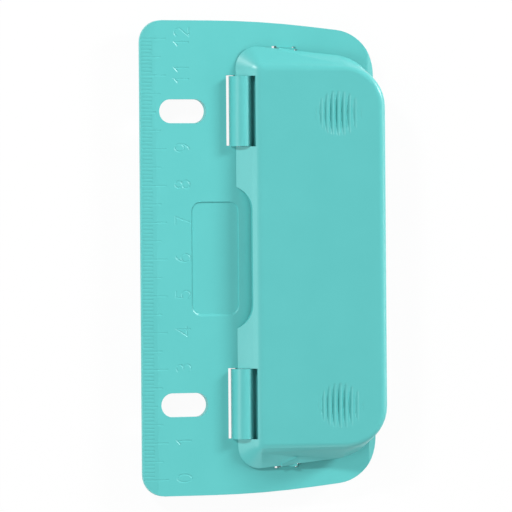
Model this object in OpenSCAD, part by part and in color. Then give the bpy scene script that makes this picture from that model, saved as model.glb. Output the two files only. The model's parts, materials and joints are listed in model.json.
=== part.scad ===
// Flat two-hole punch for ring binders, drawn with its press lever raised.
// Lengths are millimetres. Plan positions run from the ruler edge (u) and from the middle of the
// ruler (v), and heights (z) from the top face of the base plate, until place() moves them.

/* [Base plate] */
// Distance between the two punched holes
hole_pitch = 80; // [72:1:90]
// Plate length beyond each hole
plate_overhang = 24.75; // [23:0.25:30]
// Plate thickness
plate_t = 1.8; // [1.5:0.1:2.4]
// Corner radius at the ruler edge
ruler_corner_r = 6; // [3:0.5:9]
// Corner radius at the paper edge
press_corner_r = 12.5; // [8:0.5:16]
// Angle by which the plate ends draw in towards the paper edge
end_taper = 6; // [2:0.1:7]
// Distance from the ruler edge at which the ends start to draw in
taper_start = 20; // [15:1:26]
// Radius of the bend where the ends start to draw in
taper_blend_r = 280; // [100:10:300]
// Width of the bevel that carries the ruler
ruler_bevel_w = 4.2; // [2:0.1:6]
// Plate thickness left at the ruler edge
ruler_edge_t = 1.0; // [0.6:0.1:1.4]
// Width of the paper lead-in bevel
lead_in_w = 2.3; // [1:0.1:4]
// Drop of the paper lead-in bevel
lead_in_drop = 0.7; // [0.3:0.1:1]

/* [Binder slots] */
// Slot length across the plate
slot_l = 13.6; // [9:0.1:18]
// Slot width along the ruler
slot_w = 6.5; // [5:0.1:8]
// Slot centre from the ruler edge
slot_inset = 12; // [11:0.1:14]

/* [Label field] */
// Field size across the plate
field_w = 13.8; // [8:0.1:14]
// Field size along the ruler
field_l = 30.6; // [16:0.1:34]
// Field corner radius
field_r = 2.7; // [1:0.1:4]
// Depth of the sunken field
field_depth = 0.4; // [0.2:0.1:0.8]
// Field edge from the ruler edge
field_inset = 14.3; // [13:0.1:16]

/* [Hinge] */
// Hinge axis from the ruler edge
hinge_inset = 28.9; // [27:0.1:34]
// Hinge axis above the plate
hinge_rise = -0.3; // [-0.4:0.05:0]
// Outer radius of the knuckles
knuckle_r = 3.1; // [2.8:0.1:3.3]
// Length of a knuckle
knuckle_l = 19.2; // [14:0.1:22]
// Hinge pin diameter
hinge_pin_d = 1.5; // [1.3:0.1:1.6]
// Thickness of the lever's hinge cheeks
cheek_t = 2; // [1.4:0.1:3]
// Wall of a cheek round the hinge pin
cheek_wall = 0.9; // [0.7:0.05:1]
// Wall of a cheek under the hinge pin
cheek_floor = 0.15; // [0.1:0.05:0.25]
// Slit left open between the knuckle and the window's edge
window_slit = 1.05; // [0.8:0.05:1.6]
// How far a knuckle's root reaches over the plate beside its window
knuckle_root = 1.2; // [0.8:0.1:1.4]
// How far a window stops short of a knuckle's ends, and its slit runs past the far end
window_end = 0.2; // [0.15:0.05:0.4]

/* [Press lever] */
// Angle by which the lever stands open at rest
open_angle = 6; // [4:0.5:7]
// Lever length beyond each hole
lever_overhang = 17.7; // [17:0.1:19]
// Lever height from rim to top at the front
lever_h = 8.1; // [7.6:0.1:9]
// Height above the rim from which the lever's top rises at the hinge side
back_h = 2.1; // [1.9:0.1:3]
// Wall thickness of the lever
lever_wall = 1.3; // [1:0.1:1.6]
// Thickness of the lever's top
lever_top_t = 1.4; // [1.2:0.1:1.6]
// Hinge axis to the lever's rim on the hinge side
lever_back = 1.4; // [1.2:0.1:2]
// Lever's rim short of the plate's paper edge
lever_edge_gap = 0; // [0:0.1:2]
// Slant of the lever's ends in plan at the rim, which runs out towards the top
lever_taper = 6; // [3:0.5:8]
// Run of the hinge-side wall over its height
back_run = 5.5; // [5:0.1:6]
// Run of the end walls over their height
end_run = 6; // [4:0.1:7]
// Run of the front wall over its height
front_run = 0.3; // [0.2:0.1:2]
// Rounding of the crease at the hinge side and ends
crease_r = 1; // [0.5:0.1:1.6]
// Rounding of the front edge
front_r = 2.4; // [1.5:0.1:3.5]
// Rim corner radius at the hinge side
back_corner_r = 6; // [5:0.5:8]
// Corner radius left at the top of the hinge side
top_corner_r = 0.8; // [0.6:0.1:2]
// Rim corner radius at the front
front_corner_r = 14; // [10:0.5:16]
// Least corner radius left in the lever's hollow at the hinge side
hollow_back_r = 1.2; // [0.8:0.1:2]
// Least corner radius left in the lever's hollow at the front
hollow_front_r = 2; // [1:0.5:4]
// Least rounding left along the hollow's top edges
hollow_edge_r = 0.5; // [0.3:0.1:0.8]
// Depth of the notches at the knuckles behind the lever's rim
notch_depth = 5; // [4.9:0.1:5.4]
// Thickness of the lever's top where a notch ends
notch_lip = 1; // [0.8:0.1:1.2]
// How far the lever's top thins towards a notch
notch_relief = 2.2; // [2:0.1:3]
// Straight half-length of the cut-out in the hinge-side wall
cutout_half_l = 13; // [6:0.1:16]
// Depth of the cut-out behind the lever's rim
cutout_depth = 4; // [2:0.1:4.4]
// Radius of the cut-out's ends
cutout_r = 7; // [6:0.1:12]
// Radius of a thumb grip
grip_r = 6.5; // [5:0.1:8]
// Pitch of the grip grooves
groove_pitch = 1.55; // [1.55:0.05:2.5]
// Depth of the middle groove
groove_depth = 0.7; // [0.3:0.05:0.8]
// Radius of a groove's section
groove_r = 0.75; // [0.5:0.05:0.75]
// Thumb grip centre behind the punch pin
grip_back = 1.4; // [0:0.1:4]
// Thumb grip centre below the punch pin along the ruler
grip_shift = 0.7; // [0:0.1:1]

/* [Stop hooks] */
// Hook width
hook_w = 4.6; // [3:0.1:6]
// Hook centre from the hinge axis
hook_reach = 13.1; // [12:0.05:18]
// Hook thickness
hook_t = 2.2; // [1.4:0.1:2.4]
// How far the hook's face stands out past the lever's rim
hook_proud = 0.5; // [0.3:0.05:0.8]
// Height of the tab that shows on the hook above the rim
hook_tab = 0.4; // [0.2:0.1:0.8]
// Height of the barb under the plate
barb_h = 0.9; // [0.6:0.1:1.2]
// Height of the barb's upright nose
barb_nose = 0.3; // [0.2:0.05:0.5]
// How far the barb reaches out under the plate
barb_reach = 1; // [0.7:0.1:1.4]
// Window room at each side of the hook
hook_side_room = 0.9; // [0.7:0.1:1.5]

/* [Punch stations] */
// Paper stop from the hinge axis
stop_reach = 15.4; // [14.5:0.1:20]
// Hole centre from the paper's edge
hole_depth = 12; // [10:0.5:13]
// Plate beyond the hole centre on the paper side
press_reach = 12.2; // [11.5:0.1:18]
// Punched hole diameter
pin_d = 5.5; // [5:0.1:6]
// Radius of the pin's domed head
dome_r = 8; // [6:0.5:12]
// Radius of the hollow ground across the pin's tip
tip_hollow_r = 6; // [5:0.5:9]
// Sheet steel thickness of brackets and dies
steel_t = 0.8; // [0.6:0.05:1]
// Inner bend radius of the brackets
bend_r = 0.2; // [0.15:0.05:0.3]
// Flat part of the paper stop between its bends
stop_flat = 0.2; // [0.1:0.05:0.5]
// Width of the brackets and dies
bracket_w = 16; // [15.5:0.1:18]
// Length of a bracket's riveted foot
foot_l = 9.4; // [8:0.1:10]
// Steel beyond the pin's centre
leaf_reach = 7.2; // [7:0.1:8]
// Rivet shank diameter
rivet_d = 2; // [1.6:0.1:2.4]
// Rivet head diameter
rivet_head_d = 3.6; // [3.2:0.1:4]
// Rivet head height
rivet_head_h = 0.6; // [0.4:0.05:0.8]
// Distance between a bracket's two rivets
rivet_pitch = 10; // [8:0.5:11]
// Chip hole diameter under the die
chip_hole_d = 7; // [6.5:0.1:8]
// Pad under the lever's top that presses the pin
pad_h = 0.4; // [0.2:0.1:0.6]
// Pad diameter
pad_d = 9; // [7:0.5:11]

/* [Springs] */
// Spring wire diameter
wire_d = 0.45; // [0.35:0.05:0.5]
// Coil radius at the retaining ring
spring_top_r = 3.3; // [3.2:0.05:3.5]
// Coil radius at the guide leaf
spring_foot_r = 6.2; // [5.6:0.1:6.6]
// Number of turns
spring_turns = 4; // [3:0.5:4]
// Retaining ring thickness
ring_t = 0.5; // [0.4:0.05:0.6]
// Retaining ring outer diameter
ring_d = 8.4; // [8:0.1:9]
// Depth of the groove that holds the ring
ring_groove = 0.45; // [0.3:0.05:0.6]
// Width of the ring's mouth
ring_mouth = 3.4; // [3:0.1:4]
// Pin head above the ring
head_h = 0.55; // [0.5:0.05:0.7]

/* [Chip tray] */
// Height of the tray under the plate
tray_h = 4; // [3.8:0.1:8]
// Tray wall and floor thickness
tray_wall = 1.2; // [0.8:0.1:1.6]
// Tray length beyond each hole
tray_overhang = 12.5; // [11:0.1:13]
// Tray edge from the hinge axis
tray_back = 4.6; // [4.2:0.1:5]
// Tray edge short of the plate's paper edge
tray_edge_gap = 2; // [1:0.1:4]
// Tray corner radius at the paper edge
tray_front_r = 9; // [5:0.5:12]
// Tray corner radius at the hinge side
tray_back_r = 4; // [3:0.5:5]
// Height of the plate's rib that the tray is pushed over
rib_h = 1.6; // [1:0.1:1.8]
// Thickness of that rib
rib_t = 1.2; // [0.8:0.1:1.6]
// Width of the nail lip on the tray
lip_w = 14; // [8:1:24]
// Reach of the nail lip
lip_reach = 1; // [0.6:0.1:1.2]

/* [Clearances] */
// Running clearance of pins in their bores, on the radius
run_gap = 0.05; // [0.03:0.01:0.08]
// Clearance of seated pieces
seat_gap = 0.04; // [0.02:0.01:0.06]
// Clearance between pieces that pass each other
pass_gap = 0.3; // [0.2:0.05:0.4]
// Clearance between the lever's rim and the plate when pressed down
rim_gap = 0.3; // [0.25:0.05:0.5]
// Clearance between the punch pin and the lever's pad
pad_gap = 0.2; // [0.15:0.05:0.3]
// Clearance of the tray on its rib
tray_gap = 0.12; // [0.1:0.01:0.2]

/* [Hidden] */
$fn = 64;

// A cut runs this far past the faces that it opens
over = 1;
turquoise = [0.40, 0.78, 0.77];
steel = [0.72, 0.73, 0.75];
dark_steel = [0.45, 0.46, 0.48];

// Plan positions
hole_v = hole_pitch/2;
hinge_u = hinge_inset;
stop_u = hinge_u + stop_reach;
pin_u = stop_u + hole_depth;
plate_w = pin_u + press_reach;
plate_half_l = hole_v + plate_overhang;
lever_u0 = hinge_u - lever_back;
lever_u1 = plate_w - lever_edge_gap;
lever_half_l = hole_v + lever_overhang;
hook_u = hinge_u + hook_reach;
foot_u = stop_u - steel_t - foot_l;
rivet_u = foot_u + foot_l/2;
leaf_u1 = pin_u + leaf_reach;
plate_top = tray_h + plate_t;

// Heights above the plate with the lever pressed down
lever_top_z = rim_gap + lever_h;
ceiling_z = lever_top_z - lever_top_t;
pad_z = rim_gap + crown(pin_u) - lever_top_t - pad_h;
leaf_z = steel_t + 2*bend_r + stop_flat;
leaf_top_z = leaf_z + steel_t;

// The pad above a pin rises with the lever, and the pin stands just below it
pad_rest_z = hinge_rise + (pin_u - hinge_u)*tan(open_angle) + (pad_z - hinge_rise)/cos(open_angle);
pin_top_z = pad_rest_z - pad_gap;
pin_tip_z = leaf_z + run_gap;
ring_z = pin_top_z - head_h - ring_t;
barb_z = -plate_t - run_gap - (hook_reach + hook_w/2)*tan(open_angle);

// Hinge cheeks and windows
notch_half_l = knuckle_l/2 + run_gap;
cheek_end = notch_half_l + cheek_t;
cheek_r = hinge_pin_d/2 + cheek_wall;
cheek_u0 = hinge_u - hinge_pin_d/2 - pass_gap;
cheek_low = hinge_rise - hinge_pin_d/2 - cheek_floor;
notch_u = lever_u0 + notch_depth;
window_u0 = hinge_u - knuckle_r - window_slit;
window_u1 = hinge_u + knuckle_r - knuckle_root;
window_half_l = knuckle_l/2 - window_end;

// Point list of an arc from angle a0 to a1 in n steps
function arc(centre, r, a0, a1, n) =
    [for (i = [0:n]) let (a = a0 + (a1 - a0)*i/n) centre + r*[cos(a), sin(a)]];

// A half outline with its mirror image across the u axis
function mirrored(half) =
    concat(half, [for (i = [len(half) - 1:-1:0]) [half[i][0], -half[i][1]]]);

// Plan frame and heights above the plate, moved to the part's own frame
module place() {
    translate([-plate_w/2, 0, plate_top]) children();
}

// Swings the lever from pressed down to its place at rest
module raised() {
    translate([hinge_u, 0, hinge_rise]) rotate([0, -open_angle, 0])
        translate([-hinge_u, 0, -hinge_rise]) children();
}

// Extrudes a profile drawn in u and z along v
module along_v(length) {
    rotate([90, 0, 0]) translate([0, 0, -length/2]) linear_extrude(length) children();
}

module rod_along_v(r, length) {
    rotate([90, 0, 0]) cylinder(r = r, h = length, center = true);
}

// Box from its lowest corner to its highest corner
module box(low, high) {
    translate(low) cube(high - low);
}

// Skin through rings of points that run counter-clockwise seen against the way they are stacked
module loft(rings) {
    n = len(rings[0]);
    last = n*(len(rings) - 1);
    walls = [for (i = [0:len(rings) - 2]) for (k = [0:n - 1])
        let (p = i*n + k, q = i*n + (k + 1)%n)
        each [[p, p + n, q], [q, p + n, q + n]]];
    caps = [for (k = [1:n - 2]) each [[0, k, k + 1], [last, last + k + 1, last + k]]];
    polyhedron([for (r = rings) each r], concat(walls, caps));
}

// Flat slab with two pairs of corner radii, symmetrical about v = 0
module tray_slab(grow, z0, z1) {
    u0 = hinge_u + tray_back - grow;
    u1 = plate_w - tray_edge_gap + grow;
    half = hole_v + tray_overhang + grow;
    back_r = tray_back_r + grow;
    front_r0 = tray_front_r + grow;
    outline = concat(
        arc([u1 - front_r0, half - front_r0], front_r0, 0, 90, 8),
        arc([u0 + back_r, half - back_r], back_r, 90, 180, 6));
    translate([0, 0, z0]) linear_extrude(z1 - z0) polygon(mirrored(outline));
}

// Base plate

module plate_blank() {
    line_dist = (taper_start + taper_blend_r*sin(end_taper))*sin(end_taper)
        + (plate_half_l - taper_blend_r*(1 - cos(end_taper)))*cos(end_taper);
    corner_u = plate_w - press_corner_r;
    corner_v = (line_dist - press_corner_r - corner_u*sin(end_taper))/cos(end_taper);
    outline = concat(
        arc([corner_u, corner_v], press_corner_r, 0, 90 - end_taper, 12),
        arc([taper_start, plate_half_l - taper_blend_r], taper_blend_r, 90 - end_taper, 90, 4),
        arc([ruler_corner_r, plate_half_l - ruler_corner_r], ruler_corner_r, 90, 180, 8));
    translate([0, 0, -plate_t]) linear_extrude(plate_t) polygon(mirrored(outline));
}

module edge_bevels() {
    drop = plate_t - ruler_edge_t;
    along_v(2*plate_half_l + over)
        polygon([[-ruler_bevel_w, drop], [ruler_bevel_w, 0], [0, -drop], [-ruler_bevel_w, -2*drop]]);
    along_v(2*plate_half_l + over)
        polygon([[plate_w - lead_in_w, 0], [plate_w + lead_in_w, over],
            [plate_w + lead_in_w, -2*lead_in_drop], [plate_w, -lead_in_drop]]);
}

module binder_slot() {
    straight = slot_l - slot_w;
    translate([slot_inset, 0, -plate_t - over]) linear_extrude(plate_t + 2*over) {
        square([straight, slot_w], center = true);
        for (side = [-1, 1]) translate([side*straight/2, 0]) circle(d = slot_w);
    }
}

module label_field() {
    translate([field_inset + field_w/2, 0, -field_depth]) linear_extrude(field_depth + over) {
        square([field_w - 2*field_r, field_l], center = true);
        square([field_w, field_l - 2*field_r], center = true);
        for (a = [-1, 1], b = [-1, 1])
            translate([a*(field_w/2 - field_r), b*(field_l/2 - field_r)]) circle(field_r);
    }
}

// Opening under a knuckle with a slit beside it, and a pocket at each end where the lever's cheeks turn
module hinge_window() {
    low = -plate_t - over;
    box([window_u0, -window_half_l, low], [window_u1, window_half_l, over]);
    box([window_u0, 0, low], [lever_u0, knuckle_l/2 + window_end, over]);
    for (side = [-1, 1]) mirror([0, side < 0 ? 1 : 0, 0])
        box([cheek_u0 - pass_gap/2, knuckle_l/2, cheek_low - pass_gap],
            [hinge_u + cheek_r + pass_gap, cheek_end + pass_gap, over]);
    pin_bearing(knuckle_l + pass_gap);
}

// Bore for the hinge pin and the mouth below it, through which the pin snaps in
module pin_bearing(length) {
    mouth = hinge_pin_d - pass_gap;
    translate([hinge_u, 0, hinge_rise]) rod_along_v(hinge_pin_d/2 + run_gap, length);
    box([hinge_u - mouth/2, -length/2, -plate_t - over], [hinge_u + mouth/2, length/2, hinge_rise]);
}

// Snap bearing that grows out of the plate over the window and opens downwards
module knuckle() {
    difference() {
        intersection() {
            translate([hinge_u, 0, hinge_rise]) rod_along_v(knuckle_r, knuckle_l);
            box([window_u0, -knuckle_l, -plate_t], [hinge_u + 2*knuckle_r, knuckle_l, 2*knuckle_r]);
        }
        pin_bearing(knuckle_l + over);
    }
}

function hook_v() = lever_end_v(hook_u);

module hook_window(side) {
    half_w = hook_w/2 + hook_side_room;
    mirror([0, side < 0 ? 1 : 0, 0])
        box([hook_u - half_w, hook_v() - hook_t - pass_gap, -plate_t - over],
            [hook_u + half_w, hook_v() + hook_proud + pass_gap, over]);
}

// Pocket for the die, the chip hole below it and the rivet holes
module station_cuts() {
    grow = seat_gap;
    box([foot_u - grow, -bracket_w/2 - grow, -steel_t], [leaf_u1 + grow, bracket_w/2 + grow, over]);
    translate([pin_u, 0, -plate_t - over]) cylinder(d = chip_hole_d, h = plate_t + over);
    rivet_holes(-plate_t - over, over);
}

module rivet_holes(z0, z1) {
    for (side = [-1, 1]) translate([rivet_u, side*rivet_pitch/2, z0])
        cylinder(d = rivet_d + 2*seat_gap, h = z1 - z0);
}

module tray_rib() {
    difference() {
        tray_slab(-tray_wall - tray_gap, -plate_t - rib_h, -plate_t);
        tray_slab(-tray_wall - tray_gap - rib_t, -plate_t - rib_h - over, -plate_t + over);
    }
}

module base_plate() {
    color(turquoise) place() {
        difference() {
            plate_blank();
            edge_bevels();
            label_field();
            for (side = [-1, 1]) {
                translate([0, side*hole_v, 0]) {
                    binder_slot();
                    hinge_window();
                    station_cuts();
                }
                hook_window(side);
            }
        }
        tray_rib();
        for (side = [-1, 1]) translate([0, side*hole_v, 0]) knuckle();
    }
}

// Press lever

// Height of the lever's top above its rim, at a distance from the ruler edge
function crown(u) = back_h + (lever_h - back_h)*(u - lever_u0)/(lever_u1 - lever_u0);

// Half-length of the lever's rim at a distance from the ruler edge
function lever_end_v(u) =
    let (t = lever_taper, c = [lever_u0 + back_corner_r, lever_half_l - back_corner_r])
    c[1] + (back_corner_r - (u - c[0])*sin(t))/cos(t);

// How far a wall stands in from the rim at height z, with a rounded top edge
function wall_inset(z, top, run, round_r) =
    run*(z - rim_gap)/lever_h
    + (z > top - round_r ? round_r - sqrt(max(0, pow(round_r, 2) - pow(z - top + round_r, 2))) : 0);

// Rim outline of the lever at height z, drawn in by a wall thickness for its hollow
function lever_ring(z, wall, top) =
    let (edge_r = max(front_r - wall, hollow_edge_r),
        crease = max(crease_r - wall, hollow_edge_r),
        back_wall = wall*sqrt(1 + pow(back_run/crown(lever_u0 + back_run), 2)),
        end_wall = wall*sqrt(1 + pow(end_run/crown(hook_u), 2)),
        back = wall_inset(z, top, back_run, crease) + back_wall,
        end = wall_inset(z, top, end_run, crease) + end_wall,
        front = wall_inset(z, top, front_run, edge_r) + wall,
        share = (z - rim_gap)/lever_h,
        full_r = back_corner_r + (top_corner_r - back_corner_r)*share,
        taper = lever_taper*(1 - share),
        back_r = max(full_r - wall, wall > 0 ? hollow_back_r : top_corner_r),
        front_corner = max(front_corner_r - (front + end)/2, hollow_front_r),
        u0 = lever_u0 + back + back_r,
        u1 = lever_u1 - front - front_corner,
        v0 = lever_half_l - end - back_r,
        v1 = v0 + (back_r - front_corner - (u1 - u0)*sin(taper))/cos(taper),
        turn = 90 - taper,
        half = concat(arc([u1, v1], front_corner, 0, turn, 10), arc([u0, v0], back_r, turn, 180, 8)))
    [for (p = mirrored(half)) [p[0], p[1], wedge_z(p[0], z, top)]];

// Height of a ring's point, scaled so that the ring at the top follows the sloping crown
function wedge_z(u, z, top) =
    rim_gap + (z - rim_gap)*(crown(u) - lever_top_z + top)/(top - rim_gap);

// Solid lever, or its hollow when a wall is given
module lever_form(wall, top, bottom) {
    edge_r = max(front_r - wall, hollow_edge_r);
    levels = concat(bottom < rim_gap ? [bottom, rim_gap] : [rim_gap],
        [for (a = [0:15:90]) top - edge_r*(1 - sin(a))]);
    loft([for (z = levels) lever_ring(z, wall, top)]);
}

// Cut-out in the middle of the hinge-side wall
module wall_cutout() {
    edge_u = lever_u0 + cutout_depth;
    translate([0, 0, -over]) linear_extrude(lever_top_z + 2*over) {
        translate([edge_u - cutout_r, -cutout_half_l]) square([cutout_r, 2*cutout_half_l]);
        for (side = [-1, 1]) translate([edge_u - cutout_r, side*cutout_half_l]) circle(cutout_r);
    }
}

// Round patch of grip grooves, deepest in the middle and running out at the patch's edge
module thumb_grip() {
    count = floor(grip_r/groove_pitch);
    sweep_r = (pow(grip_r, 2) + pow(groove_depth, 2))/(2*groove_depth);
    grip_u = pin_u - grip_back;
    slope = atan((lever_h - back_h)/(lever_u1 - lever_u0));
    translate([grip_u, -grip_shift, rim_gap + crown(grip_u)]) rotate([0, -slope, 0])
        for (i = [-count:count]) {
            depth = groove_depth*(1 - pow(i*groove_pitch/grip_r, 2));
            translate([i*groove_pitch, 0, sweep_r - depth]) rotate([0, 90, 0])
                rotate_extrude() translate([sweep_r - groove_r, 0]) circle(groove_r);
        }
}

// Puts a child at both ends of both notches
module at_cheeks() {
    for (side = [-1, 1]) for (end = [-1, 1])
        translate([0, side*hole_v + end*(notch_half_l + cheek_t/2), 0]) children();
}

// Cheeks at both ends of a notch, which carry the hinge pin
module hinge_cheeks() {
    intersection() {
        at_cheeks()
            box([cheek_u0, -cheek_t/2, hinge_rise], [hinge_u + cheek_r, cheek_t/2, ceiling_z + over]);
        lever_form(0, lever_top_z, rim_gap - over);
    }
    intersection() {
        at_cheeks() intersection() {
            translate([hinge_u, 0, hinge_rise]) rod_along_v(cheek_r, cheek_t);
            box([cheek_u0, -cheek_t, cheek_low], [hinge_u + 2*cheek_r, cheek_t, hinge_rise + 2*cheek_r]);
        }
        lever_form(0, lever_top_z, -lever_h);
    }
}

// Gap for a knuckle, under which the lever's top thins to a lip
module notch() {
    low = -plate_t;
    relief_u = notch_u + notch_relief;
    lip_z = rim_gap + crown(notch_u) - notch_lip;
    box([lever_u0 - over, -notch_half_l, low], [notch_u, notch_half_l, lever_top_z]);
    along_v(2*notch_half_l) polygon([[notch_u - over, low], [relief_u, low],
        [relief_u, rim_gap + crown(relief_u) - lever_top_t], [notch_u, lip_z], [notch_u - over, lip_z]]);
}

// Hook that drops through the plate at one end and holds the lever against its springs
module stop_hook() {
    root_z = rim_gap + hook_t/2;
    low = barb_z - barb_h;
    back = hook_v() - hook_t;
    face = hook_v() + hook_proud;
    profile = [[back, low], [face, low], [face + barb_reach, barb_z - barb_nose],
        [face + barb_reach, barb_z], [face, barb_z], [face, rim_gap + hook_tab], [back, root_z]];
    translate([hook_u - hook_w/2, 0, 0]) rotate([90, 0, 90]) linear_extrude(hook_w) polygon(profile);
}

module press_lever() {
    color(turquoise) place() raised() difference() {
        union() {
            difference() {
                lever_form(0, lever_top_z, rim_gap);
                lever_form(lever_wall, ceiling_z, rim_gap - over);
            }
            hinge_cheeks();
            for (side = [-1, 1]) {
                mirror([0, side < 0 ? 1 : 0, 0]) stop_hook();
                translate([pin_u, side*hole_v, pad_z]) rotate(90*side)
                    cylinder(d = pad_d, h = pad_h + lever_top_t/2);
            }
        }
        wall_cutout();
        for (side = [-1, 1]) translate([0, side*hole_v, 0]) {
            notch();
            translate([hinge_u, 0, hinge_rise]) rod_along_v(hinge_pin_d/2 + seat_gap/2, 2*cheek_end + over);
            thumb_grip();
        }
    }
}

module hinge_pin(side) {
    color(steel) place() translate([hinge_u, side*hole_v, hinge_rise])
        rod_along_v(hinge_pin_d/2, 2*cheek_end);
}

// Punch stations

module die_plate(side) {
    color(steel) place() translate([0, side*hole_v, 0]) difference() {
        box([foot_u, -bracket_w/2, -steel_t], [leaf_u1, bracket_w/2, 0]);
        translate([pin_u, 0, -over]) cylinder(d = pin_d + 2*run_gap, h = 2*over);
        rivet_holes(-steel_t - over, over);
    }
}

// Bent strip: riveted foot, step that stops the paper, and the leaf that guides the pin
module guide_bracket(side) {
    low_bend = [stop_u - steel_t - bend_r, steel_t + bend_r];
    high_bend = [stop_u + bend_r, leaf_z - bend_r];
    profile = concat([[foot_u, 0]], arc(low_bend, steel_t + bend_r, -90, 0, 6),
        arc(high_bend, bend_r, 180, 90, 4), [[leaf_u1, leaf_z], [leaf_u1, leaf_top_z]],
        arc(high_bend, bend_r + steel_t, 90, 180, 6), arc(low_bend, bend_r, 0, -90, 4),
        [[foot_u, steel_t]]);
    color(steel) place() translate([0, side*hole_v, 0]) difference() {
        along_v(bracket_w) polygon(profile);
        translate([pin_u, 0, leaf_z - over/2]) cylinder(d = pin_d + 2*run_gap, h = steel_t + over);
        rivet_holes(-over/2, steel_t + over/2);
    }
}

module domed_head(z, up) {
    r = (pow(rivet_head_d/2, 2) + pow(rivet_head_h, 2))/(2*rivet_head_h);
    translate([0, 0, z]) mirror([0, 0, up ? 0 : 1]) intersection() {
        translate([0, 0, rivet_head_h - r]) sphere(r);
        cylinder(d = rivet_head_d, h = rivet_head_h);
    }
}

module bracket_rivets(side) {
    color(dark_steel) place() translate([rivet_u, side*hole_v, 0])
        for (end = [-1, 1]) translate([0, end*rivet_pitch/2, 0]) {
            translate([0, 0, -plate_t]) cylinder(d = rivet_d, h = plate_t + steel_t);
            domed_head(steel_t, true);
            domed_head(-plate_t, false);
        }
}

module punch_pin(side) {
    length = pin_top_z - pin_tip_z;
    hollow_z = pin_tip_z - sqrt(pow(tip_hollow_r, 2) - pow(pin_d/2, 2));
    color(steel) place() translate([pin_u, side*hole_v, 0]) difference() {
        intersection() {
            translate([0, 0, pin_tip_z]) cylinder(d = pin_d, h = length);
            translate([0, 0, pin_top_z - dome_r]) sphere(dome_r);
        }
        difference() {
            translate([0, 0, ring_z - seat_gap]) cylinder(d = pin_d + over, h = ring_t + 2*seat_gap);
            translate([0, 0, ring_z - over]) cylinder(d = pin_d - 2*ring_groove, h = ring_t + 2*over);
        }
        translate([0, 0, hollow_z]) rotate([0, 90, 0])
            cylinder(r = tip_hollow_r, h = pin_d + over, center = true, $fn = 96);
    }
}

module retaining_ring(side) {
    bore_r = pin_d/2 - ring_groove + seat_gap;
    color(dark_steel) place() translate([pin_u, side*hole_v, ring_z]) difference() {
        cylinder(d = ring_d, h = ring_t);
        translate([0, 0, -over]) cylinder(r = bore_r, h = ring_t + 2*over);
        box([0, -ring_mouth/2, -over], [ring_d, ring_mouth/2, ring_t + over]);
    }
}

// Return springs

spring_height = ring_z - leaf_top_z - wire_d - 2*seat_gap;
rings_a_turn = 8;
ring_count = spring_turns*rings_a_turn;
tube_sides = 6;

// Middle of the wire and its ring of corner points, a share s along the spring
function coil_r(s) = spring_foot_r + (spring_top_r - spring_foot_r)*s;
function coil_point(s) =
    let (a = 360*spring_turns*s)
    [coil_r(s)*cos(a), coil_r(s)*sin(a), leaf_top_z + seat_gap + wire_d/2 + spring_height*s];
function wire_ring(s) =
    let (a = 360*spring_turns*s, c = coil_point(s))
    [for (k = [0:tube_sides - 1]) let (b = -360*k/tube_sides)
        c + wire_d/2*[cos(a)*cos(b), sin(a)*cos(b), sin(b)]];

coil_points = [for (i = [0:ring_count]) coil_point(i/ring_count)];
spring_gap = min([for (i = [0:ring_count]) for (j = [i + 5:1:ring_count])
    norm(coil_points[i] - coil_points[j])]) - wire_d;
echo(spring_gap = spring_gap);

module return_spring(side) {
    color(steel) place() translate([pin_u, side*hole_v, 0])
        loft([for (i = [0:ring_count]) wire_ring(i/ring_count)]);
}

// Chip tray

module chip_tray() {
    lip_u = hinge_u + tray_back;
    color(turquoise) place() {
        difference() {
            tray_slab(0, -plate_top, -plate_t - seat_gap);
            tray_slab(-tray_wall, -plate_top + tray_wall, -plate_t + over);
        }
        box([lip_u - lip_reach, -lip_w/2, -plate_top],
            [lip_u + tray_wall/2, lip_w/2, -plate_top + tray_wall]);
    }
}

base_plate();
press_lever();
hinge_pin(1);  // upper_hinge_pin
hinge_pin(-1);  // lower_hinge_pin
die_plate(1);  // upper_die_plate
die_plate(-1);  // lower_die_plate
guide_bracket(1);  // upper_guide_bracket
guide_bracket(-1);  // lower_guide_bracket
bracket_rivets(1);  // upper_bracket_rivets
bracket_rivets(-1);  // lower_bracket_rivets
punch_pin(1);  // upper_punch_pin
punch_pin(-1);  // lower_punch_pin
retaining_ring(1);  // upper_retaining_ring
retaining_ring(-1);  // lower_retaining_ring
return_spring(1);  // upper_return_spring
return_spring(-1);  // lower_return_spring
chip_tray();
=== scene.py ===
"""Looks of the flat two-hole punch: turquoise plastic, an engraved ruler and steel punch stations."""
import json
import math

import bmesh
import bpy
from mathutils import Matrix, Vector

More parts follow.
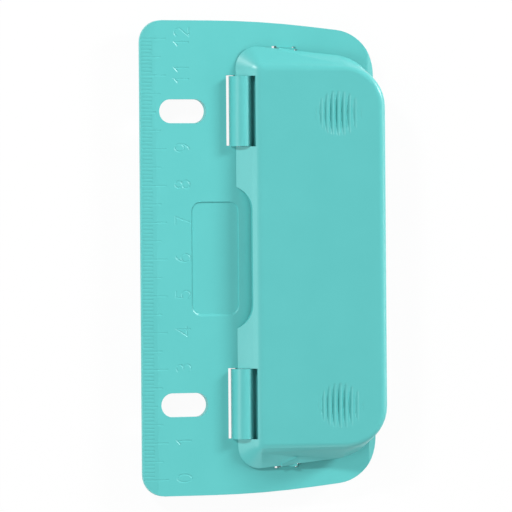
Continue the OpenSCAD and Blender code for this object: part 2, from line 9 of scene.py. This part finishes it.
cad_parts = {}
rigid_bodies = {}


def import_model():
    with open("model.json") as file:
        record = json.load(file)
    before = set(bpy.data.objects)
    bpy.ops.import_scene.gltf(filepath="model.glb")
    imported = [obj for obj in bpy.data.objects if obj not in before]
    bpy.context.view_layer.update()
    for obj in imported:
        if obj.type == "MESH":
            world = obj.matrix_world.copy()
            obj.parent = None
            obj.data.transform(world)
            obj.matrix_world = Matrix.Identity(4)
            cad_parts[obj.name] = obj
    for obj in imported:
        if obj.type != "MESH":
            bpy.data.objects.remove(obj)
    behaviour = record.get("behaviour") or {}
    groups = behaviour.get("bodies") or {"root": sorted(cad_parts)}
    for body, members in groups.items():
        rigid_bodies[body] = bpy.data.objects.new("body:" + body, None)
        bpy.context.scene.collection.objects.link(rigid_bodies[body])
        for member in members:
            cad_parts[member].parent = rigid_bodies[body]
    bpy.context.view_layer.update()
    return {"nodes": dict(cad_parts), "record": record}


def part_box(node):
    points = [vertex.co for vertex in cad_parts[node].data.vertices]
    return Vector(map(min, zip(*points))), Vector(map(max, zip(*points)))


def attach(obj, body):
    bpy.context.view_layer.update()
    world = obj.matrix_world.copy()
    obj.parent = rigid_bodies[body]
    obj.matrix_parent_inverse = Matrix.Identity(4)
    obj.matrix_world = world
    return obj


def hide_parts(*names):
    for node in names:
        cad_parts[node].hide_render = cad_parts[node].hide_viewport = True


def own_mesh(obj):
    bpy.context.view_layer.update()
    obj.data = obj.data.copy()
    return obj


for leftover in list(bpy.data.objects):
    bpy.data.objects.remove(leftover)
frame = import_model()
MM = 0.001

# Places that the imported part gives
MOUNTS = {mount["name"]: Vector(mount["pos_m"]) for mount in frame["record"]["mounts"]}
PLATE_LOW, PLATE_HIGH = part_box("base_plate")
RULER_X = PLATE_LOW.x
PLATE_TOP = MOUNTS["binder_slots"].z

# Camera, turned about the ruler's direction, and the point that it looks at
TURN = math.radians(21.5)
TILT = math.radians(0.46)
ROLL = math.radians(-0.43)
DISTANCE = 1.5
SENSOR = 36.0
LENS = 385.9
AIM_Z = 8.0*MM
AIM_RIGHT = -1.85*MM
AIM_UP = 0.385*MM
NEAREST = 0.05
FURTHEST = 20

# Edge roundings that the mould leaves
PLATE_EDGE = 0.18*MM
LEVER_EDGE = 0.22*MM
TRAY_EDGE = 0.3*MM
STEEL_EDGE = 0.08*MM
BEVEL_STEPS = 3
SHARP_ANGLE = math.radians(38)
FLAT_ANGLE = math.radians(0.2)
SAME_POINT = 0.001*MM

# Walls of the lever that twist from rim to top
TWIST_AREA = 15*MM**2
TWIST_LEAN = 0.3
TWIST_CUTS = 9

# Ruler: 12 cm of engraved marks on the bevelled edge
RULER_MM = 120
RULER_MIDDLE = -0.3*MM
BEVEL_W = 4.2*MM
BEVEL_DROP = 0.8*MM
MARK_START = 0.35*MM
MARK_ENDS = {10: 7.2*MM, 5: 5.65*MM, 1: 3.15*MM}
MARK_END_AT_SLOT = 4.2*MM
SLOT_Y = 40*MM
SLOT_ROOM = 3.6*MM
GROOVE_W = 0.6*MM
MARK_DEPTH = 0.07*MM
DIGIT_DEPTH = 0.1*MM
DIGIT_TOP = 9.4*MM
DIGIT_H = 4.8*MM
DIGIT_CELL = 0.62
DIGIT_W = 0.56
MITRE_LEAST = 0.5
DIGIT_RISE = 0.5*MM
ARC_STEP = 18
ARC_LEAST = 4
MISSING_DIGITS = (2, 10)
UP = Vector((0, 0, 1))

# Sunken label field, whose near wall leans out and catches the light
FIELD_INSET = 14.3*MM
FIELD_W = 13.8*MM
FIELD_HALF_L = 15.3*MM
FIELD_R = 2.7*MM
DRAFT_W = 0.65*MM
DRAFT_DEPTH = 0.35*MM
DRAFT_FADE = 0.15
DRAFT_INSIDE = 0.02*MM


def linear(red, green, blue):
    """Scene-linear colour of 8-bit display values."""
    def one(value):
        share = value/255
        return share/12.92 if share <= 0.04045 else ((share + 0.055)/1.055)**2.4
    return (one(red), one(green), one(blue), 1.0)


# Materials

PLASTIC_DEEP = linear(92, 193, 191)
PLASTIC_PALE = linear(98, 199, 197)
PLASTIC_GLOSS = 0.4
CLOUD_SCALE = 90
GRAIN_SCALE = 5200
GRAIN_ROUGHNESS = (0.28, 0.36)
GRAIN_STRENGTH = 0.12
GRAIN_HEIGHT = 0.03*MM
LINE_SCALES = (6000, 500, 6000)
LINE_ROUGHNESS = 0.08
LINE_STRENGTH = 0.15
LINE_HEIGHT = 0.01*MM
STAIN_SCALE = 400


class Nodes:
    """Short way to add and link shader nodes."""

    def __init__(self, tree):
        self.tree = tree
        tree.nodes.clear()

    def add(self, kind, **values):
        node = self.tree.nodes.new(kind)
        for name, value in values.items():
            setattr(node, name, value)
        return node

    def link(self, source, target):
        self.tree.links.new(source, target)

    def noise(self, coordinate, scale, detail):
        node = self.add("ShaderNodeTexNoise")
        node.inputs["Scale"].default_value = scale
        node.inputs["Detail"].default_value = detail
        self.link(coordinate, node.inputs["Vector"])
        return node.outputs["Fac"]

    def ranged(self, value, low, high):
        node = self.add("ShaderNodeMapRange")
        node.inputs["To Min"].default_value = low
        node.inputs["To Max"].default_value = high
        self.link(value, node.inputs["Value"])
        return node.outputs["Result"]

    def mixed(self, factor, first, second):
        node = self.add("ShaderNodeMix", data_type="RGBA")
        self.link(factor, node.inputs["Factor"])
        for socket, colour in zip([s for s in node.inputs if s.type == "RGBA"], (first, second)):
            socket.default_value = colour
        return next(s for s in node.outputs if s.type == "RGBA")

    def bump(self, height, strength, distance):
        node = self.add("ShaderNodeBump")
        node.inputs["Strength"].default_value = strength
        node.inputs["Distance"].default_value = distance
        self.link(height, node.inputs["Height"])
        return node.outputs["Normal"]


def surface_material(name):
    material = bpy.data.materials.new(name)
    material.use_nodes = True
    nodes = Nodes(material.node_tree)
    shader = nodes.add("ShaderNodeBsdfPrincipled")
    output = nodes.add("ShaderNodeOutputMaterial")
    nodes.link(shader.outputs["BSDF"], output.inputs["Surface"])
    return material, nodes, shader


def moulded_plastic(name):
    """Satin polypropylene: faint flow clouds in the colour and a fine spark-eroded grain."""
    material, nodes, shader = surface_material(name)
    place = nodes.add("ShaderNodeTexCoord").outputs["Object"]
    clouds = nodes.noise(place, CLOUD_SCALE, 3)
    grain = nodes.noise(place, GRAIN_SCALE, 2)
    nodes.link(nodes.mixed(clouds, PLASTIC_DEEP, PLASTIC_PALE), shader.inputs["Base Color"])
    nodes.link(nodes.ranged(grain, *GRAIN_ROUGHNESS), shader.inputs["Roughness"])
    nodes.link(nodes.bump(grain, GRAIN_STRENGTH, GRAIN_HEIGHT), shader.inputs["Normal"])
    shader.inputs["Specular IOR Level"].default_value = PLASTIC_GLOSS
    return material


def drawn_steel(name, dark, light, roughness):
    """Rolled or drawn steel with fine lines along the ruler's direction."""
    material, nodes, shader = surface_material(name)
    place = nodes.add("ShaderNodeTexCoord").outputs["Object"]
    stretch = nodes.add("ShaderNodeMapping")
    stretch.inputs["Scale"].default_value = LINE_SCALES
    nodes.link(place, stretch.inputs["Vector"])
    lines = nodes.noise(stretch.outputs["Vector"], 1, 3)
    stains = nodes.noise(place, STAIN_SCALE, 2)
    nodes.link(nodes.mixed(stains, dark, light), shader.inputs["Base Color"])
    rough = nodes.ranged(lines, roughness - LINE_ROUGHNESS, roughness + LINE_ROUGHNESS)
    nodes.link(rough, shader.inputs["Roughness"])
    nodes.link(nodes.bump(lines, LINE_STRENGTH, LINE_HEIGHT), shader.inputs["Normal"])
    shader.inputs["Metallic"].default_value = 1.0
    return material


PLASTIC = moulded_plastic("turquoise_polypropylene")
CARVED = bpy.data.materials.new("groove_faces")
BRIGHT = drawn_steel("bright_plated_steel", linear(176, 178, 182), linear(214, 216, 220), 0.3)
SPRING = drawn_steel("plain_spring_steel", linear(120, 122, 127), linear(158, 160, 165), 0.36)


# Pieces made from the solids

def bake(piece):
    """Applies a piece's modifiers."""
    seen = piece.evaluated_get(bpy.context.evaluated_depsgraph_get())
    mesh = bpy.data.meshes.new_from_object(seen)
    piece.modifiers.clear()
    piece.data = mesh


def new_piece(name, mesh):
    piece = bpy.data.objects.new(name, mesh)
    bpy.context.scene.collection.objects.link(piece)
    return piece


def piece_from(shape, name):
    mesh = bpy.data.meshes.new(name)
    shape.to_mesh(mesh)
    shape.free()
    return new_piece(name, mesh)


def finish_piece(piece, body, material):
    piece.data.materials.clear()
    piece.data.materials.append(material)
    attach(piece, body)


def even_out(shape):
    """Turns each pair of large triangles in a twisted wall into one evenly curving patch."""
    def large(face):
        return len(face.verts) == 3 and face.calc_area() > TWIST_AREA and abs(face.normal.y) > TWIST_LEAN

    def diagonal(edge):
        pair = edge.link_faces
        return len(pair) == 2 and all(large(face) for face in pair) and edge.calc_face_angle() > FLAT_ANGLE

    diagonals = [edge for edge in shape.edges if diagonal(edge)]
    walls = [bmesh.utils.face_join(edge.link_faces) for edge in diagonals]
    for wall in walls:
        bmesh.ops.subdivide_edges(shape, edges=wall.edges[:], cuts=TWIST_CUTS, use_grid_fill=True)


def rounded_copy(node, name, edge):
    """The node's solid with its sharp edges rounded as the tool leaves them."""
    shape = bmesh.new()
    shape.from_mesh(frame["nodes"][node].data)
    bmesh.ops.remove_doubles(shape, verts=shape.verts, dist=SAME_POINT)
    bmesh.ops.dissolve_limit(shape, angle_limit=FLAT_ANGLE, verts=shape.verts, edges=shape.edges)
    even_out(shape)
    piece = piece_from(shape, name)
    bevel = piece.modifiers.new("rounding", "BEVEL")
    bevel.width = edge
    bevel.segments = BEVEL_STEPS
    bevel.limit_method = "ANGLE"
    bevel.angle_limit = SHARP_ANGLE
    bevel.use_clamp_overlap = True
    bake(piece)
    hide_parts(node)
    return piece


def smooth(piece):
    """Smooth shading that stops at sharp edges and grooves and keeps flat faces flat."""
    mesh = piece.data
    mesh.polygons.foreach_set("use_smooth", [True]*len(mesh.polygons))
    mesh.set_sharp_from_angle(angle=SHARP_ANGLE)
    grooves = {edge for face in mesh.polygons if face.material_index for edge in face.edge_keys}
    for edge in mesh.edges:
        if edge.key in grooves:
            edge.use_edge_sharp = True
    normals = piece.modifiers.new("flat_faces", "WEIGHTED_NORMAL")
    normals.keep_sharp = True


def carve(piece, cutter, operation="DIFFERENCE"):
    """Cuts a shape out of a piece, or joins it on, and keeps the edges crisp."""
    piece.data.materials.append(PLASTIC)
    cutter.data.materials.append(CARVED)
    cut = piece.modifiers.new("carving", "BOOLEAN")
    cut.operation = operation
    cut.solver = "EXACT"
    cut.use_self = True
    cut.material_mode = "TRANSFER"
    cut.object = cutter
    bake(piece)
    bpy.data.objects.remove(cutter)


# Ruler and label field

def ruler_height(inset):
    """Height of the plate's top at a distance from the ruler edge."""
    return PLATE_TOP - BEVEL_DROP*max(0.0, 1 - inset/BEVEL_W)


def mark_end(millimetre, y):
    """Inset at which a mark ends, which is shorter beside the slots."""
    if abs(abs(y) - SLOT_Y) < SLOT_ROOM and millimetre % 10 == 0:
        return MARK_END_AT_SLOT
    return next(end for step, end in MARK_ENDS.items() if millimetre % step == 0)


def add_groove(shape, stations, closed):
    """A V-shaped groove swept along stations of point, sideways vector and depth."""
    rings = []
    for point, side, depth in stations:
        high = point + UP*depth
        corners = (high - side*2, point - UP*depth, high + side*2)
        rings.append([shape.verts.new(corner) for corner in corners])
    pairs = list(zip(rings, rings[1:]))
    if closed:
        pairs.append((rings[-1], rings[0]))
    for first, second in pairs:
        for k in range(3):
            shape.faces.new((first[k], first[(k + 1) % 3], second[(k + 1) % 3], second[k]))
    if not closed:
        shape.faces.new(reversed(rings[0]))
        shape.faces.new(rings[-1])


def add_mark(shape, y, end):
    """A ruler mark that follows the bevel and then the flat of the plate."""
    insets = [MARK_START, BEVEL_W, end] if end > BEVEL_W else [MARK_START, end]
    side = Vector((0, GROOVE_W/2, 0))
    points = [Vector((RULER_X + inset, y, ruler_height(inset))) for inset in insets]
    add_groove(shape, [(point, side, MARK_DEPTH) for point in points], False)


def arc(centre, radii, first, last):
    """Points on an ellipse between two angles in degrees."""
    count = max(ARC_LEAST, round(abs(last - first)/ARC_STEP))
    angles = [math.radians(first + (last - first)*i/count) for i in range(count + 1)]
    return [(centre[0] + radii[0]*math.cos(a), centre[1] + radii[1]*math.sin(a)) for a in angles]


def figure_strokes(figure):
    """Centre lines of a figure in a cell one unit high, each with a flag for a closed loop."""
    if figure == 0:
        return [(arc((0.28, 0.5), (0.22, 0.44), 0, 360)[:-1], True)]
    if figure == 1:
        return [([(0.12, 0.74), (0.33, 0.94), (0.33, 0.06)], False)]
    if figure == 2:
        return [(arc((0.28, 0.71), (0.22, 0.23), 165, -35) + [(0.06, 0.06), (0.54, 0.06)], False)]
    if figure == 3:
        upper = arc((0.26, 0.73), (0.2, 0.21), 150, -90)
        lower = arc((0.26, 0.29), (0.23, 0.23), 90, -150)
        return [(upper + lower[1:], False)]
    if figure == 4:
        return [([(0.56, 0.3), (0.04, 0.3), (0.4, 0.94), (0.4, 0.06)], False)]
    if figure == 5:
        bowl = arc((0.27, 0.33), (0.23, 0.27), 125, -150)
        return [([(0.48, 0.94), (0.14, 0.94), (0.1, 0.53)] + bowl, False)]
    if figure == 7:
        return [([(0.05, 0.94), (0.52, 0.94), (0.22, 0.06)], False)]
    if figure == 8:
        return [(arc((0.28, 0.73), (0.18, 0.21), 0, 360)[:-1], True),
                (arc((0.28, 0.29), (0.22, 0.23), 0, 360)[:-1], True)]
    six = [(arc((0.28, 0.33), (0.22, 0.27), 0, 360)[:-1], True),
           (arc((0.42, 0.36), (0.36, 0.58), 178, 95), False)]
    if figure == 6:
        return six
    return [([(DIGIT_W - x, 1 - y) for x, y in points], closed) for points, closed in six]


def mitred(points, closed):
    """Sideways vectors at the points of a line, so that its width holds round corners."""
    count = len(points)
    sides = []
    for i, point in enumerate(points):
        before = points[i - 1] if i or closed else None
        after = points[(i + 1) % count] if i < count - 1 or closed else None
        ways = [(b - a).normalized() for a, b in ((before, point), (point, after)) if a and b]
        normals = [Vector((-way.y, way.x, 0)) for way in ways]
        middle = sum(normals, Vector((0, 0, 0))).normalized()
        sides.append(middle*(GROOVE_W/2)/max(MITRE_LEAST, middle.dot(normals[0])))
    return sides


def add_number(shape, number, y):
    """Sunken figures that read upwards along the ruler."""
    figures = [int(character) for character in str(number)]
    top_x = RULER_X + DIGIT_TOP
    first_y = y + DIGIT_RISE - DIGIT_H*(DIGIT_CELL*len(figures))/2
    for position, figure in enumerate(figures):
        start = DIGIT_CELL*position
        for points, closed in figure_strokes(figure):
            places = [(top_x + DIGIT_H*(1 - v), first_y + DIGIT_H*(u + start)) for u, v in points]
            line = [Vector((*place, PLATE_TOP)) for place in places]
            sides = mitred(line, closed)
            add_groove(shape, [(point, side, DIGIT_DEPTH) for point, side in zip(line, sides)], closed)


def add_draft(shape):
    """Lean of the label field's near wall, which fades out round the corners."""
    low_x = RULER_X + FIELD_INSET + FIELD_R
    high_x = RULER_X + FIELD_INSET + FIELD_W - FIELD_R
    low_y = FIELD_R - FIELD_HALF_L
    radius = FIELD_R - DRAFT_INSIDE
    stations = []
    for x, first in ((low_x, 180), (high_x, 270)):
        for place in arc((x, low_y), (radius, radius), first, first + 90):
            outward = Vector((place[0] - x, place[1] - low_y, 0)).normalized()
            share = DRAFT_FADE + (1 - DRAFT_FADE)*outward.y**2
            stations.append((Vector((*place, PLATE_TOP)), outward*DRAFT_W*share, DRAFT_DEPTH*share))
    add_groove(shape, stations, False)


def ruler_cutter():
    """Grooves of the ruler and of the label field's near wall."""
    shape = bmesh.new()
    add_draft(shape)
    for millimetre in range(RULER_MM + 1):
        y = RULER_MIDDLE + (millimetre - RULER_MM/2)*MM
        add_mark(shape, y, mark_end(millimetre, y))
        if millimetre % 10 == 0 and millimetre//10 not in MISSING_DIGITS:
            add_number(shape, millimetre//10, y)
    bmesh.ops.recalc_face_normals(shape, faces=shape.faces)
    return piece_from(shape, "ruler_cutter")


# Stop hooks: the tabs end flush with the lever's end walls, and light shows past them through the plate

HOOK_TIP = 1.0*MM
HOOK_FOOT = 0.08*MM
HOOK_BESIDE = 0.3*MM
WALL_SKIN = 0.015*MM
WALL_RISES = [rise*MM for rise in (0.03, 0.5, 1.0, 1.5, 2.0, 2.5)]
RIM_STEP = 0.02*MM
RIM_STEPS = 200
OUTSIDE = 3*MM
WALL_REACH = 12*MM
LEFT_ROOM = 1.75*MM
RIGHT_ROOM = 1.1*MM
WINDOW_REACH = 0.6*MM
WINDOW_OVER = 1.0*MM
LIP_GAP = 0.08*MM
LIP_REACH = 0.7*MM
LIP_SHIFT = 0.4*MM
LIP_DEPTH = 1.4*MM


def hook_size():
    """Least and greatest x of the stop hooks, the lever's lowest parts, and how far out they stand in y."""
    points = [vertex.co for vertex in frame["nodes"]["press_lever"].data.vertices]
    lowest = min(point.z for point in points)
    across = [point.x for point in points if point.z < lowest + HOOK_TIP]
    outside = max(abs(point.y) for point in points if point.z < lowest + HOOK_FOOT)
    return min(across), max(across), outside


def end_wall_y(lever, x, z, side):
    """Where a level ray from outside meets the lever's end wall, or None."""
    found, place, _, _ = lever.ray_cast(Vector((x, side*PLATE_HIGH.y, z)), Vector((0, -side, 0)))
    return place.y if found and abs(place.y) > PLATE_HIGH.y - WALL_REACH else None


def wall_profile(lever, x, side):
    """Points up the outside of an end wall, from its rim."""
    steps = (PLATE_TOP + RIM_STEP*i for i in range(RIM_STEPS))
    rim = next(z for z in steps if end_wall_y(lever, x, z, side) is not None)
    heights = [rim + rise for rise in WALL_RISES]
    return [Vector((x, end_wall_y(lever, x, z, side) + side*WALL_SKIN, z)) for z in heights]


def add_prism(shape, first, second):
    """A solid between two outlines with the same number of points."""
    rings = [[shape.verts.new(point) for point in outline] for outline in (first, second)]
    count = len(first)
    for i in range(count):
        j = (i + 1) % count
        shape.faces.new((rings[0][i], rings[0][j], rings[1][j], rings[1][i]))
    shape.faces.new(reversed(rings[0]))
    shape.faces.new(rings[1])


def add_block(shape, first_x, last_x, near_y, far_y, low_z, high_z):
    corners = [(first_x, near_y), (last_x, near_y), (last_x, far_y), (first_x, far_y)]
    outlines = [[Vector((x, y, z)) for x, y in corners] for z in (low_z, high_z)]
    add_prism(shape, *outlines)


def tool_from(shape, name):
    """A solid that is cut out of a piece or joined on to it."""
    bmesh.ops.triangulate(shape, faces=shape.faces)
    bmesh.ops.recalc_face_normals(shape, faces=shape.faces)
    return piece_from(shape, name)


def tab_cutter(lever):
    """Room outside the end walls, over the width of the hooks."""
    low_x, high_x, _ = hook_size()
    shape = bmesh.new()
    for side in (-1, 1):
        outlines = []
        for x in (low_x - HOOK_BESIDE, high_x + HOOK_BESIDE):
            wall = wall_profile(lever, x, side)
            outside = [Vector((x, wall[0].y + side*OUTSIDE, point.z)) for point in (wall[-1], wall[0])]
            outlines.append(wall + outside)
        add_prism(shape, *outlines)
    return tool_from(shape, "tab_cutter")


def window_cutter(lever):
    """Room in the plate at each side of the hooks, past the lever's rim."""
    low_x, high_x, _ = hook_size()
    shape = bmesh.new()
    for side in (-1, 1):
        for first_x, last_x in ((low_x - LEFT_ROOM, low_x), (high_x, high_x + RIGHT_ROOM)):
            beside = first_x - HOOK_BESIDE if first_x < low_x else last_x + HOOK_BESIDE
            rim_y = wall_profile(lever, beside, side)[0].y
            near_y, far_y = rim_y - side*WINDOW_OVER, rim_y + side*WINDOW_REACH
            add_block(shape, first_x, last_x, near_y, far_y, 0, PLATE_TOP + WINDOW_OVER)
    return tool_from(shape, "window_cutter")


def plate_lip():
    """Lip that brings the plate up to the outside of each hook, under the lever's rim."""
    low_x, high_x, hook_y = hook_size()
    shape = bmesh.new()
    for side in (-1, 1):
        near_y, far_y = side*(hook_y + LIP_GAP), side*(hook_y + LIP_REACH)
        first_x, last_x = low_x - LIP_SHIFT, high_x - LIP_SHIFT
        add_block(shape, first_x, last_x, near_y, far_y, PLATE_TOP - LIP_DEPTH, PLATE_TOP)
    return tool_from(shape, "plate_lip")


def make_plate(lever):
    plate = rounded_copy("base_plate", "plate_moulding", PLATE_EDGE)
    carve(plate, window_cutter(lever))
    carve(plate, plate_lip(), "UNION")
    carve(plate, ruler_cutter())
    smooth(plate)
    finish_piece(plate, "base", PLASTIC)


def make_lever():
    lever = rounded_copy("press_lever", "lever_moulding", LEVER_EDGE)
    carve(lever, tab_cutter(lever))
    smooth(lever)
    finish_piece(lever, "lever", PLASTIC)
    return lever


def make_tray():
    tray = rounded_copy("chip_tray", "tray_moulding", TRAY_EDGE)
    smooth(tray)
    finish_piece(tray, "tray", PLASTIC)


# Punch stations

SPRING_WIRE = 0.45*MM
SPRING_FOOT_R = 6.2*MM
SPRING_TOP_R = 3.3*MM
SPRING_SEAT = 0.04*MM
SPRING_TURNS = 4
SPRING_STEPS = 40
WIRE_SIDES = 12


def make_spring(side):
    """Conical spring between the guide leaf and the retaining ring."""
    node, joint = f"{side}_return_spring", f"{side}_pin_slide"
    leaf_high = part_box(f"{side}_guide_bracket")[1].z
    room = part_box(f"{side}_retaining_ring")[0].z - leaf_high
    low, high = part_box(f"{side}_punch_pin")
    centre = (low + high)/2
    first_z = leaf_high + SPRING_SEAT + SPRING_WIRE/2
    rise = room - 2*SPRING_SEAT - SPRING_WIRE
    count = SPRING_TURNS*SPRING_STEPS
    shape = bmesh.new()
    rings = []
    for i in range(count + 1):
        share = i/count
        angle = 2*math.pi*SPRING_TURNS*share
        radius = SPRING_FOOT_R + (SPRING_TOP_R - SPRING_FOOT_R)*share
        out = Vector((math.cos(angle), math.sin(angle), 0))
        wire = centre.xy.to_3d() + out*radius + UP*(first_z + rise*share)
        ring = []
        for k in range(WIRE_SIDES):
            turn = 2*math.pi*k/WIRE_SIDES
            offset = out*math.cos(turn) + Vector((0, 0, math.sin(turn)))
            ring.append(shape.verts.new(wire + offset*SPRING_WIRE/2))
        rings.append(ring)
    for first, second in zip(rings, rings[1:]):
        for k in range(WIRE_SIDES):
            j = (k + 1) % WIRE_SIDES
            shape.faces.new((first[k], second[k], second[j], first[j]))
    shape.faces.new(rings[0])
    shape.faces.new(reversed(rings[-1]))
    bmesh.ops.recalc_face_normals(shape, faces=shape.faces)
    spring = piece_from(shape, f"{side}_spring_wire")
    faces = spring.data.polygons
    faces.foreach_set("use_smooth", [True]*len(faces))
    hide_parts(node)
    finish_piece(spring, "base", SPRING)
    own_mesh(spring)


def make_steel(node, body, material):
    piece = rounded_copy(node, f"{node}_steel", STEEL_EDGE)
    smooth(piece)
    finish_piece(piece, body, material)


def dress_steel():
    for side in ("upper", "lower"):
        pin_body = f"{side}_pin"
        for node, body in (("die_plate", "base"), ("guide_bracket", "base"), ("hinge_pin", "lever"),
                           ("punch_pin", pin_body)):
            make_steel(f"{side}_{node}", body, BRIGHT)
        for node, body in (("bracket_rivets", "base"), ("retaining_ring", pin_body)):
            make_steel(f"{side}_{node}", body, SPRING)
        make_spring(side)


# Stage

def make_camera():
    right = Vector((math.cos(TURN), 0, math.sin(TURN)))
    back = Vector((-math.sin(TURN)*math.cos(TILT), math.sin(TILT), math.cos(TURN)*math.cos(TILT)))
    up = back.cross(right)
    across = right*math.cos(ROLL) + up*math.sin(ROLL)
    above = up*math.cos(ROLL) - right*math.sin(ROLL)
    target = Vector((0, 0, AIM_Z)) + across*AIM_RIGHT + above*AIM_UP
    data = bpy.data.cameras.new("photo_view")
    data.sensor_width = SENSOR
    data.lens = LENS
    data.clip_start = NEAREST
    data.clip_end = FURTHEST
    camera = bpy.data.objects.new("photo_view", data)
    turned = Matrix((across, above, back)).transposed().to_4x4()
    camera.matrix_world = Matrix.Translation(target + back*DISTANCE) @ turned
    bpy.context.scene.collection.objects.link(camera)
    bpy.context.scene.camera = camera


def seen_rays(nodes):
    """1 for camera, glossy and transmission rays."""
    path = nodes.add("ShaderNodeLightPath")
    total = path.outputs["Is Camera Ray"]
    for name in ("Is Glossy Ray", "Is Transmission Ray"):
        node = nodes.add("ShaderNodeMath", operation="MAXIMUM")
        nodes.link(total, node.inputs[0])
        nodes.link(path.outputs[name], node.inputs[1])
        total = node.outputs[0]
    return total


FLOOR_HALF = 6.0
FLOOR_DROP = 0.02*MM
FLOOR_COLOUR = (0.9, 0.9, 0.9, 1)
FLOOR_GLOW = 0.95
WORLD_LIGHT = 0.25
LAMP_DISTANCE = 1.0

# Lamps: azimuth from +X towards +Y, elevation, width and power
LAMPS = {
    "key_softbox": (26, 22, 0.2, 8.5),
    "low_right_softbox": (0, 18, 0.2, 1.4),
    "left_front_softbox": (142, 38, 0.12, 5.0),
    "left_softbox": (190, 38, 0.5, 3.0),
    "near_end_softbox": (270, 30, 0.5, 1.6),
}


def make_floor():
    mesh = bpy.data.meshes.new("floor")
    corners = [(-FLOOR_HALF, -FLOOR_HALF, 0), (FLOOR_HALF, -FLOOR_HALF, 0),
               (FLOOR_HALF, FLOOR_HALF, 0), (-FLOOR_HALF, FLOOR_HALF, 0)]
    mesh.from_pydata(corners, [], [(0, 1, 2, 3)])
    floor = new_piece("floor", mesh)
    floor.location.z = -FLOOR_DROP
    material = bpy.data.materials.new("white_paper")
    material.use_nodes = True
    nodes = Nodes(material.node_tree)
    matt = nodes.add("ShaderNodeBsdfDiffuse")
    matt.inputs["Color"].default_value = FLOOR_COLOUR
    glow = nodes.add("ShaderNodeEmission")
    share = nodes.add("ShaderNodeMath", operation="MULTIPLY")
    share.inputs[1].default_value = FLOOR_GLOW
    nodes.link(seen_rays(nodes), share.inputs[0])
    mix = nodes.add("ShaderNodeMixShader")
    nodes.link(share.outputs[0], mix.inputs[0])
    nodes.link(matt.outputs[0], mix.inputs[1])
    nodes.link(glow.outputs[0], mix.inputs[2])
    output = nodes.add("ShaderNodeOutputMaterial")
    nodes.link(mix.outputs[0], output.inputs["Surface"])
    mesh.materials.append(material)


def make_world():
    world = bpy.data.worlds.new("white_room")
    bpy.context.scene.world = world
    world.use_nodes = True
    nodes = Nodes(world.node_tree)
    background = nodes.add("ShaderNodeBackground")
    strength = nodes.ranged(seen_rays(nodes), WORLD_LIGHT, 1.0)
    nodes.link(strength, background.inputs["Strength"])
    output = nodes.add("ShaderNodeOutputWorld")
    nodes.link(background.outputs[0], output.inputs["Surface"])


def add_softbox(name, azimuth, elevation, width, power):
    """Square area lamp that faces the part from a direction given in degrees."""
    lamp = bpy.data.lights.new(name, "AREA")
    lamp.size = width
    lamp.energy = power
    holder = bpy.data.objects.new(name, lamp)
    turn, rise = math.radians(azimuth), math.radians(elevation)
    way = Vector((math.cos(turn)*math.cos(rise), math.sin(turn)*math.cos(rise), math.sin(rise)))
    holder.location = way*LAMP_DISTANCE
    holder.rotation_mode = "QUATERNION"
    holder.rotation_quaternion = way.to_track_quat("Z", "Y")
    bpy.context.scene.collection.objects.link(holder)


make_camera()
make_plate(make_lever())
make_tray()
dress_steel()
make_floor()
make_world()
for lamp_name, lamp_values in LAMPS.items():
    add_softbox(lamp_name, *lamp_values)
bpy.context.scene.view_settings.view_transform = "Standard"
